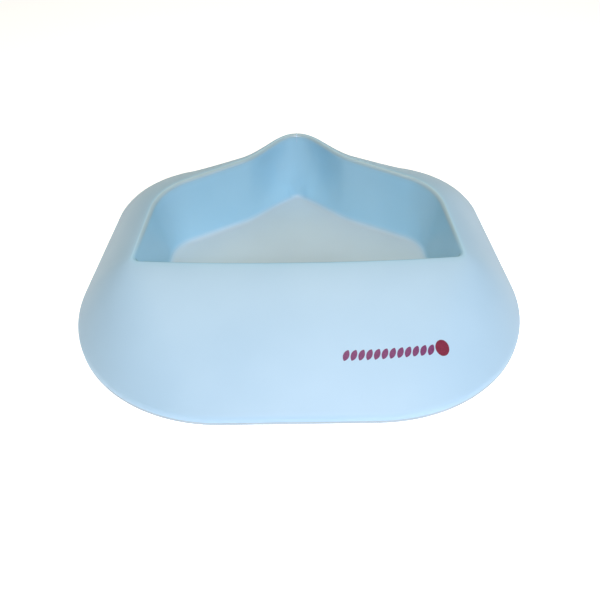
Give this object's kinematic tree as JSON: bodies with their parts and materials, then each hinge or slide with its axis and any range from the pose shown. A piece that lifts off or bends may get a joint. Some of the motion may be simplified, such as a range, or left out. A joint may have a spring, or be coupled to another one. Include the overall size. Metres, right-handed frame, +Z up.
{
  "type": "bedpan",
  "caption": "Wide contoured bedpan: broad sloping seat, vee-ended basin with a pouring spout, closing base plate and rubber foot pads.",
  "frame": {"origin": "on the ground plane, under the middle of the outline", "axes": "+X across the seat to the sitter's left when seen from the low near edge, +Y to the spout end, +Z up"},
  "size_m": [0.3938, 0.362, 0.079],
  "materials": {
    "shell_plastic": "pale blue moulded plastic, satin to gloss",
    "base_plastic": "grey-blue moulded plastic, matt",
    "pad_rubber": "matt grey rubber"
  },
  "bodies": {
    "root": {"seat_shell": "shell_plastic", "base_plate": "base_plastic", "foot_pad_near_left": "pad_rubber", "foot_pad_near_right": "pad_rubber", "foot_pad_rear_left": "pad_rubber", "foot_pad_rear_right": "pad_rubber"}
  },
  "joints": []
}
